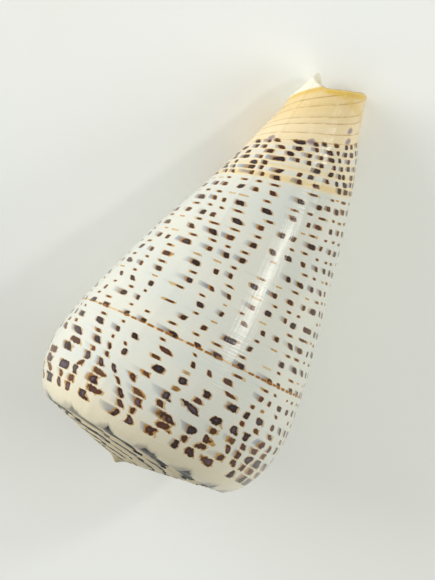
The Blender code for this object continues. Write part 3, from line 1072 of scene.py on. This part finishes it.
def rim_colours(side, growth, share, place):
    """Purple smudges at the edge of the yellow, the saturated groove by the rim, the pale ridge behind
    it and the yellow edge."""
    turns = growth + FACING_TURNS - (share - FACING_SHARE) * FACING_LAG
    for along, around in SMUDGES:
        smudge = round_patch(share - along, turns - around, SMUDGE_SIZE)
        side = mix(smudge * RIM_PATCH_COVER, side, SMUDGE_PURPLE)
    line = share + turns.most(0.0) * RIM_GROOVE_CLIMB
    groove = bell(line, RIM_GROOVE, 0.017) * turns.rise(0.02, 0.12, 0.9, 0.45)
    side = mix(groove, side, RIM_YELLOW)
    behind = turns.fall(-0.02, 0.0)
    side = mix(line.rise(RIM_GROOVE + 0.003, RIM_GROOVE + 0.012) * behind, side, RIDGE_CREAM)
    chip = round_patch(share - CHIP[0], turns - CHIP[1], CHIP_SIZE)
    side = mix(chip * RIM_PATCH_COVER, side, RIDGE_CREAM)
    return mix(place.rise(0.985, 0.995) * (1.0 - behind), side, RIM_YELLOW)


def shell_material():
    """Glossy painted shell: all zones by the numbers on the mesh."""
    material = bpy.data.materials.new("shell_enamel")
    material.use_nodes = True
    tree = material.node_tree
    shader = tree.nodes["Principled BSDF"]
    read = {name: add_node(tree, "ShaderNodeAttribute", attribute_name=name).outputs
            for name in ("marks", "spacing", "growth")}
    column, row, place = parts(Flow(read["marks"]["Vector"]))
    width, height, share = parts(Flow(read["spacing"]["Vector"]))
    growth_turn = Flow(read["growth"]["Fac"])

    spots = use_group(tree, spotted_rows, Column=column, Row=row, Width=width, Height=height, Share=share)
    lines = use_group(tree, spiral_lines, Column=column, Share=share)
    flames = use_group(tree, spire_flames, Column=column, Ramp=place, Growth=growth_turn)

    side = ground_colour(column, share, growth_turn)
    side = mix(spots["Gap"] * GAP_COVER, side, TIP_CREAM)
    side = mix(lines["Yellow"], side, LINE_YELLOW)
    side = mix(lines["Dash link"], side, LINE_LINK)
    side = mix(spots["Trail"] * TRAIL_COVER, side, TRAIL_GREY)
    edge = mix(spots["Small"] * spots["Chance"], FRINGE_BROWN, PALE_YELLOW)
    side = mix(spots["Fringe"] * spots["Chance"].rise(0.0, 1.0, 0.9, 0.6), side, edge)
    core = mix(spots["Chance"].rise(0.1, 0.7), CORE_BROWN, CORE_DARK)
    core = mix(spots["Small"] * SMALL_BROWN_COVER, core, SMALL_BROWN)
    core = mix(spots["Inner"] * (1.0 - spots["Small"]) * MAUVE_COVER, core, INNER_MAUVE)
    side = mix(spots["Core"], side, core)
    side = mix(lines["Dashes"], side, LINE_BROWN)
    side = mix(lines["Brown"] * TIP_LINE_COVER, side, LINE_TIP)
    side = rim_colours(side, growth_turn, share, place)

    ramp = mix(place.rise(-0.3, 0.0), SPIRE_CREAM, SHOULDER_CREAM)
    ramp = mix(growth_turn.fall(-6.6, -5.0), ramp, APEX_BEIGE)
    painted = mix(place.rise(-0.02, 0.0), ramp, side)
    painted = mix(flames["Smoke"] * SMOKE_COVER, painted, SMOKE_GREY)
    painted = mix(flames["Flame"], painted, FLAME_DARK)

    inside_colour = mix(share.rise(0.90, 1.0), PORCELAIN, TIP_CREAM)
    inside_colour = mix(place.rise(2.2, 2.8), inside_colour, RIDGE_CREAM)
    feed(shader.inputs["Base Color"], mix(place.rise(1.1, 1.6), painted, inside_colour))

    relief = use_group(tree, fine_relief, Column=column, Share=share, Growth=growth_turn)
    bump = add_node(tree, "ShaderNodeBump")
    bump.inputs["Distance"].default_value = MM
    feed(bump.inputs["Height"], relief["Height"])
    feed(shader.inputs["Normal"], Flow(bump.outputs["Normal"]))
    worn = waver(column * 0.4, share * 12.0, seed=11.0, detail=3.0)
    on_ramp = place.fall(-0.10, 0.01)
    feed(shader.inputs["Roughness"], worn.rise(0.3, 0.7, *SIDE_ROUGHNESS) + on_ramp * RAMP_ROUGHER)
    feed(shader.inputs["Coat Weight"], (1.0 - on_ramp) * COAT_WEIGHT)
    shader.inputs["Coat Roughness"].default_value = COAT_ROUGHNESS
    return material


shell.data.materials.append(shell_material())
print("enamel nodes:", len(shell.data.materials[0].node_tree.nodes))

# %% [markdown]
# ## Floor
# A plain pale floor catches the soft shadow. It is one large quad with a very faint unevenness of colour,
# so that the eye reads it as a surface and not as empty space.

# %% Floor
FLOOR_HALF = 1.5
FLOOR_PALE = colour(253, 255, 252)
FLOOR_WARM = colour(250, 252, 246)
FLOOR_ROUGHNESS = 0.75
PATCHES_PER_METRE = 9.0


def floor_piece():
    """A square in the ground plane."""
    corners = FLOOR_HALF * np.array([(-1, -1, 0), (1, -1, 0), (1, 1, 0), (-1, 1, 0)])
    mesh = bpy.data.meshes.new("floor")
    mesh.from_pydata(corners.tolist(), [], [(0, 1, 2, 3)])
    material = bpy.data.materials.new("floor_paint")
    material.use_nodes = True
    tree = material.node_tree
    where = Flow(add_node(tree, "ShaderNodeTexCoord").outputs["Object"])
    shade = noise(where, PATCHES_PER_METRE, 3.0)
    shader = tree.nodes["Principled BSDF"]
    feed(shader.inputs["Base Color"], mix(shade.rise(0.35, 0.65), FLOOR_PALE, FLOOR_WARM))
    shader.inputs["Roughness"].default_value = FLOOR_ROUGHNESS
    mesh.materials.append(material)
    piece = bpy.data.objects.new("floor", mesh)
    bpy.context.scene.collection.objects.link(piece)
    return piece


floor = floor_piece()
print("floor, m:", [round(side, 2) for side in floor.dimensions])

# %% [markdown]
# ## Camera
# The view looks down on the shell, a little from the side of the spire, about seven shell lengths away with a
# long lens. It is set in the shell's own frame, by the side that faces it, and then laid down with the shell.

# %% Camera
CAMERA_DISTANCE = 7.0 * SHELL_LENGTH
CAMERA_AIM = 0.45 * SHELL_LENGTH
CAMERA_TILT = math.radians(2.54)
CAMERA_ROLL = math.radians(29.80)
LENS_MM = 192.06
SENSOR_MM = 36.0
PICTURE_HEIGHT = 580.0
SHIFT_PIXELS = (3.2, -0.7)
NEAREST = 0.01


def shell_camera():
    """Camera axes from the facing direction, tilted and rolled, then laid down with the shell."""
    radial = Vector((math.cos(FACING_AZIMUTH), math.sin(FACING_AZIMUTH), 0.0))
    back = radial * math.cos(CAMERA_TILT) - Vector((0.0, 0.0, 1.0)) * math.sin(CAMERA_TILT)
    level = Vector((-math.sin(FACING_AZIMUTH), math.cos(FACING_AZIMUTH), 0.0))
    steep = back.cross(level)
    right = level * math.cos(CAMERA_ROLL) + steep * math.sin(CAMERA_ROLL)
    up = steep * math.cos(CAMERA_ROLL) - level * math.sin(CAMERA_ROLL)
    spot = Vector((0.0, 0.0, CAMERA_AIM)) + back * CAMERA_DISTANCE
    axes = Matrix((right, up, back)).transposed().to_4x4()
    data = bpy.data.cameras.new("camera")
    data.sensor_width = SENSOR_MM
    data.lens = LENS_MM
    data.shift_x = SHIFT_PIXELS[0] / PICTURE_HEIGHT
    data.shift_y = SHIFT_PIXELS[1] / PICTURE_HEIGHT
    data.clip_start = NEAREST
    camera = bpy.data.objects.new("camera", data)
    camera.matrix_world = place_matrix @ Matrix.Translation(spot) @ axes
    bpy.context.scene.collection.objects.link(camera)
    bpy.context.scene.camera = camera
    return camera


camera = shell_camera()
turned = camera.matrix_world.to_3x3()
picture_right, picture_up, picture_back = [turned.col[number].copy() for number in range(3)]
print("camera height above the floor, degrees:", round(math.degrees(math.asin(picture_back.z)), 1))

# %% [markdown]
# ## Light
# The light is a soft studio one: a large window to the upper left, a weaker and warmer lamp to the right that
# opens the shadows, a small narrow one that draws the strip of gloss along the side, and a bright room all
# round. Each lamp is placed by the directions of the picture, because that is how a photographer thinks.

# %% Lamps and room
# Name, direction to the right, up and back in the picture, distance, width and length, power, tint, and
# whether the gloss shows the lamp
LAMPS = (
    ("window_left", (-0.80, 0.48, 0.36), 0.9, (0.6, 0.8), 8.7, (1.0, 0.985, 0.99), False),
    ("fill_right", (0.90, -0.18, 0.35), 0.9, (0.5, 0.5), 2.6, (1.0, 0.98, 0.925), False),
    ("strip_right", (0.750, 0.213, 0.627), 0.7, (0.055, 0.10), 0.62, (1.0, 0.99, 0.96), True),
)
LAMPS_FACE = Vector((0.0, 0.0, 0.02))
ROOM_TINT = (0.975, 0.99, 0.965, 1.0)
ROOM_STRENGTH = 0.465


def lamp(name, direction, distance, size, power, tint, in_gloss):
    """A rectangular lamp that faces the shell, its long side along the shell's axis."""
    data = bpy.data.lights.new(name, "AREA")
    data.shape = "RECTANGLE"
    data.size, data.size_y = size
    data.energy = power
    data.color = tint
    spot = Vector(direction).normalized()
    towards = picture_right * spot.x + picture_up * spot.y + picture_back * spot.z
    axis = (place_matrix.to_3x3() @ Vector((0.0, 0.0, 1.0))).normalized()
    along = (axis - towards * axis.dot(towards)).normalized()
    across = along.cross(towards)
    turn = Matrix((across, along, towards)).transposed().to_4x4()
    piece = bpy.data.objects.new(name, data)
    piece.matrix_world = Matrix.Translation(LAMPS_FACE + towards * distance) @ turn
    piece.visible_glossy = in_gloss
    bpy.context.scene.collection.objects.link(piece)


def bright_room():
    """An even pale world all round, shown without a film curve."""
    world = bpy.data.worlds.new("room")
    world.use_nodes = True
    room = world.node_tree.nodes["Background"]
    room.inputs["Color"].default_value = ROOM_TINT
    room.inputs["Strength"].default_value = ROOM_STRENGTH
    bpy.context.scene.world = world
    bpy.context.scene.view_settings.view_transform = "Standard"


for values in LAMPS:
    lamp(*values)
bright_room()
print("lamps:", len(LAMPS))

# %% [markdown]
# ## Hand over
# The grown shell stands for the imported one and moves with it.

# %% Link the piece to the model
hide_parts("shell")
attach(shell, "root")
